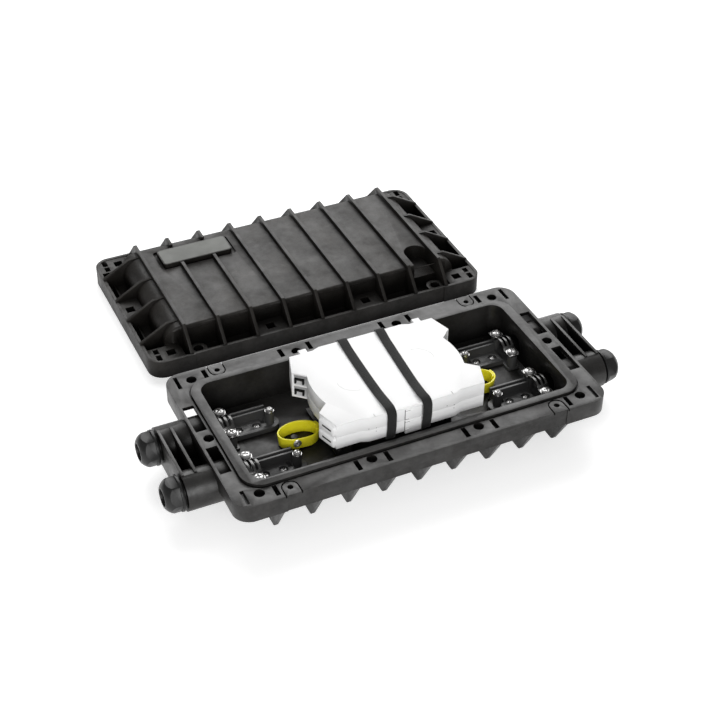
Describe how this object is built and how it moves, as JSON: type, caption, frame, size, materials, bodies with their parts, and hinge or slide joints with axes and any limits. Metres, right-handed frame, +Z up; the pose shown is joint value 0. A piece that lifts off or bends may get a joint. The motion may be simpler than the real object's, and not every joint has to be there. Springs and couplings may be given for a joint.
{
  "type": "horizontal fibre splice closure",
  "caption": "Ribbed two-part splice closure with cable glands, clamp brackets, strapped splice trays and fibre rings, its lid taken off and lying behind the base.",
  "frame": {"origin": "on the surface under the base's centre, on the lower edge of the middle rib", "axes": "+X along the base through the cable ports, +Y towards the lid, +Z up"},
  "size_m": [0.4294, 0.4255, 0.0733],
  "materials": {
    "body_plastic": "satin moulded charcoal, fine grain",
    "gland_plastic": "smooth dark grey",
    "seal_rubber": "black, dull",
    "bracket_plastic": "satin black",
    "bright_steel": "bright plated",
    "pressed_steel": "satin pressed strip",
    "coated_steel": "black coated",
    "comb_rubber": "soft light grey",
    "tray_plastic": "white, semi-gloss",
    "strap_cloth": "black woven hook and loop tape",
    "ring_plastic": "yellow, semi-gloss"
  },
  "bodies": {
    "base": {"base_shell": "body_plastic", "bracket_screws": "bright_steel", "bridge_screws": "bright_steel", "cable_bracket_left_far": "bracket_plastic", "cable_bracket_left_near": "bracket_plastic", "cable_bracket_right_far": "bracket_plastic", "cable_bracket_right_near": "bracket_plastic", "fibre_ring_left": "ring_plastic", "fibre_ring_right": "ring_plastic", "gland_seal_left_far": "seal_rubber", "gland_seal_left_near": "seal_rubber", "gland_seal_right_far": "seal_rubber", "gland_seal_right_near": "seal_rubber", "member_screws": "bright_steel", "member_washers": "bright_steel", "ring_screws": "bright_steel", "saddle_left_far": "pressed_steel", "saddle_left_near": "pressed_steel", "saddle_right_far": "pressed_steel", "saddle_right_near": "pressed_steel", "saddle_screws": "bright_steel", "splice_comb_lower": "comb_rubber", "splice_comb_upper": "comb_rubber", "splice_tray_lower": "tray_plastic", "splice_tray_upper": "tray_plastic", "tray_bridge": "coated_steel", "tray_cover": "tray_plastic", "tray_strap_left": "strap_cloth", "tray_strap_right": "strap_cloth"},
    "clamp_left_near": {"clamp_ring_left_near": "gland_plastic"},
    "nut_left_near": {"gland_nut_left_near": "gland_plastic"},
    "clamp_left_far": {"clamp_ring_left_far": "gland_plastic"},
    "nut_left_far": {"gland_nut_left_far": "gland_plastic"},
    "clamp_right_near": {"clamp_ring_right_near": "gland_plastic"},
    "nut_right_near": {"gland_nut_right_near": "gland_plastic"},
    "clamp_right_far": {"clamp_ring_right_far": "gland_plastic"},
    "nut_right_far": {"gland_nut_right_far": "gland_plastic"},
    "lid": {"lid_shell": "body_plastic", "seal_gasket": "seal_rubber"}
  },
  "joints": [
    {"name": "clamp_slide_left_near", "type": "slide", "parent": "base", "child": "clamp_left_near", "axis": [-1, 0, 0], "range_m": [0, 0.006]},
    {"name": "nut_turn_left_near", "type": "hinge", "parent": "clamp_left_near", "child": "nut_left_near", "pos_m": [-0.2, -0.0307, 0.0297], "axis": [-1, 0, 0], "range_deg": [0, 1441]},
    {"name": "clamp_slide_left_far", "type": "slide", "parent": "base", "child": "clamp_left_far", "axis": [-1, 0, 0], "range_m": [0, 0.006]},
    {"name": "nut_turn_left_far", "type": "hinge", "parent": "clamp_left_far", "child": "nut_left_far", "pos_m": [-0.2, 0.0307, 0.0297], "axis": [-1, 0, 0], "range_deg": [0, 1441]},
    {"name": "clamp_slide_right_near", "type": "slide", "parent": "base", "child": "clamp_right_near", "axis": [1, 0, 0], "range_m": [0, 0.006]},
    {"name": "nut_turn_right_near", "type": "hinge", "parent": "clamp_right_near", "child": "nut_right_near", "pos_m": [0.2, -0.0307, 0.0297], "axis": [1, 0, 0], "range_deg": [0, 1441]},
    {"name": "clamp_slide_right_far", "type": "slide", "parent": "base", "child": "clamp_right_far", "axis": [1, 0, 0], "range_m": [0, 0.006]},
    {"name": "nut_turn_right_far", "type": "hinge", "parent": "clamp_right_far", "child": "nut_right_far", "pos_m": [0.2, 0.0307, 0.0297], "axis": [1, 0, 0], "range_deg": [0, 1441]},
    {"name": "lid_lift", "type": "slide", "parent": "base", "child": "lid", "axis": [0, 0, 1], "range_m": [0, 0.12]}
  ],
  "couplings": [
    {"joint": "nut_turn_left_near", "follows": "clamp_slide_left_near", "rad_per_m": 4188.8},
    {"joint": "nut_turn_left_far", "follows": "clamp_slide_left_far", "rad_per_m": 4188.8},
    {"joint": "nut_turn_right_near", "follows": "clamp_slide_right_near", "rad_per_m": 4188.8},
    {"joint": "nut_turn_right_far", "follows": "clamp_slide_right_far", "rad_per_m": 4188.8}
  ]
}
